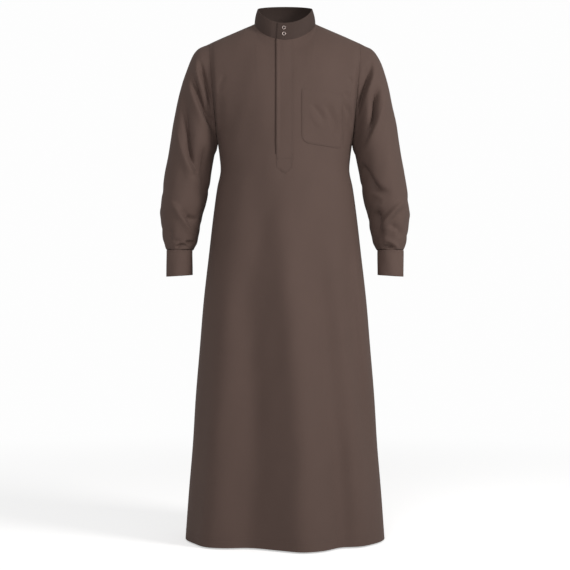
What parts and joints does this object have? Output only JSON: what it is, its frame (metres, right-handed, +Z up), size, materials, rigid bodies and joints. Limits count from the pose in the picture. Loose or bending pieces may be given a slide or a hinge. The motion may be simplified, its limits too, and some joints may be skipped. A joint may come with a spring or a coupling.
{
  "type": "thobe",
  "caption": "Long plain thobe as worn, with band collar, snapped half placket, chest pocket, cuffed long sleeves and flared skirt.",
  "frame": {"origin": "on the centre line between the shoulders, level with the highest point of the shoulders, where the wearer's shoulders hold the thobe", "axes": "+Z up along the hanging length, front towards -Y, the wearer's left towards +X"},
  "size_m": [0.6826, 0.4107, 1.4701],
  "materials": {
    "cloth": "plain brown fine twill, matt with a slight sheen",
    "snap_metal": "satin",
    "button_plastic": "semi-gloss"
  },
  "bodies": {
    "root": {"front": "cloth", "back": "cloth", "sleeve_left": "cloth", "sleeve_right": "cloth", "cuff_left": "cloth", "cuff_right": "cloth", "collar": "cloth", "placket": "cloth", "underlap": "cloth", "pocket": "cloth", "collar_snap_lower": "snap_metal", "collar_snap_upper": "snap_metal", "cuff_button_left": "button_plastic", "cuff_button_right": "button_plastic"}
  },
  "joints": []
}
